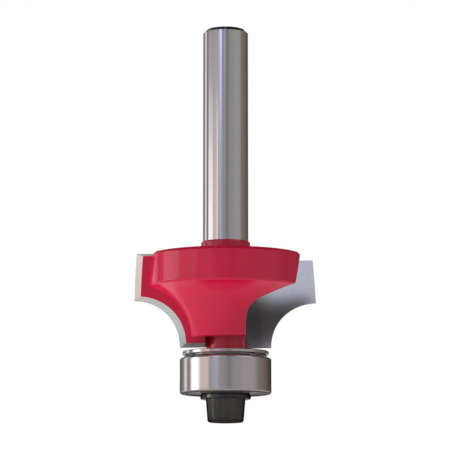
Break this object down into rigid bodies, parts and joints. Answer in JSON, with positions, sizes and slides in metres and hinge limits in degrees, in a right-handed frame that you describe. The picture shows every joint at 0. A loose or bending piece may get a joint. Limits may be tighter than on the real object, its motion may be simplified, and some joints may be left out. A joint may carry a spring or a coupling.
{
  "type": "router bit",
  "caption": "Rounding-over router bit: straight shank, red milled head with brazed carbide tips, and a ball-bearing pilot held by a socket screw.",
  "frame": {"origin": "centre of the pilot screw's lower face, on the axis of the bit", "axes": "+Z along the axis from the pilot screw to the shank's end; X square to the gullets' floors"},
  "size_m": [0.0252, 0.0226, 0.0554],
  "materials": {
    "painted_steel": "red enamel on machined steel; the shank above the collar and the bearing stud are bare",
    "carbide": "ground tungsten carbide, red enamel on the back",
    "turned_steel": "finely turned",
    "bearing_steel": "ground bright",
    "ball_steel": "polished",
    "strip_steel": "pressed strip",
    "blackened_steel": "black oxide, satin"
  },
  "bodies": {
    "cutter": {"cutter_body": "painted_steel", "carbide_tip_1": "carbide", "carbide_tip_2": "carbide", "dust_washer": "turned_steel", "bearing_inner_ring": "bearing_steel", "clamp_washer": "blackened_steel", "pilot_screw": "blackened_steel"},
    "pilot_rim": {"bearing_outer_ring": "bearing_steel", "bearing_shield_upper": "strip_steel", "bearing_shield_lower": "strip_steel"},
    "ball_cage": {"cage_upper_half": "strip_steel", "cage_lower_half": "strip_steel", "cage_rivets": "strip_steel"},
    "rolling_ball_1": {"ball_1": "ball_steel"},
    "rolling_ball_2": {"ball_2": "ball_steel"},
    "rolling_ball_3": {"ball_3": "ball_steel"},
    "rolling_ball_4": {"ball_4": "ball_steel"},
    "rolling_ball_5": {"ball_5": "ball_steel"},
    "rolling_ball_6": {"ball_6": "ball_steel"},
    "rolling_ball_7": {"ball_7": "ball_steel"}
  },
  "joints": [
    {"name": "bearing_spin", "type": "hinge", "parent": "cutter", "child": "pilot_rim", "pos_m": [0, 0, 0.00639], "axis": [0, 0, 1], "continuous": true},
    {"name": "cage_spin", "type": "hinge", "parent": "cutter", "child": "ball_cage", "pos_m": [0, 0, 0.00639], "axis": [0, 0, 1], "continuous": true},
    {"name": "ball_1_spin", "type": "hinge", "parent": "ball_cage", "child": "rolling_ball_1", "pos_m": [0.00437, 0, 0.00639], "axis": [0, 0, 1], "continuous": true},
    {"name": "ball_2_spin", "type": "hinge", "parent": "ball_cage", "child": "rolling_ball_2", "pos_m": [0.00272, 0.00341, 0.00639], "axis": [0, 0, 1], "continuous": true},
    {"name": "ball_3_spin", "type": "hinge", "parent": "ball_cage", "child": "rolling_ball_3", "pos_m": [-0.00097, 0.00426, 0.00639], "axis": [0, 0, 1], "continuous": true},
    {"name": "ball_4_spin", "type": "hinge", "parent": "ball_cage", "child": "rolling_ball_4", "pos_m": [-0.00393, 0.00189, 0.00639], "axis": [0, 0, 1], "continuous": true},
    {"name": "ball_5_spin", "type": "hinge", "parent": "ball_cage", "child": "rolling_ball_5", "pos_m": [-0.00393, -0.00189, 0.00639], "axis": [0, 0, 1], "continuous": true},
    {"name": "ball_6_spin", "type": "hinge", "parent": "ball_cage", "child": "rolling_ball_6", "pos_m": [-0.00097, -0.00426, 0.00639], "axis": [0, 0, 1], "continuous": true},
    {"name": "ball_7_spin", "type": "hinge", "parent": "ball_cage", "child": "rolling_ball_7", "pos_m": [0.00272, -0.00341, 0.00639], "axis": [0, 0, 1], "continuous": true}
  ],
  "couplings": [
    {"joint": "cage_spin", "follows": "bearing_spin", "ratio": 0.63635},
    {"joint": "ball_1_spin", "follows": "bearing_spin", "ratio": 1.6972},
    {"joint": "ball_2_spin", "follows": "bearing_spin", "ratio": 1.6972},
    {"joint": "ball_3_spin", "follows": "bearing_spin", "ratio": 1.6972},
    {"joint": "ball_4_spin", "follows": "bearing_spin", "ratio": 1.6972},
    {"joint": "ball_5_spin", "follows": "bearing_spin", "ratio": 1.6972},
    {"joint": "ball_6_spin", "follows": "bearing_spin", "ratio": 1.6972},
    {"joint": "ball_7_spin", "follows": "bearing_spin", "ratio": 1.6972}
  ]
}
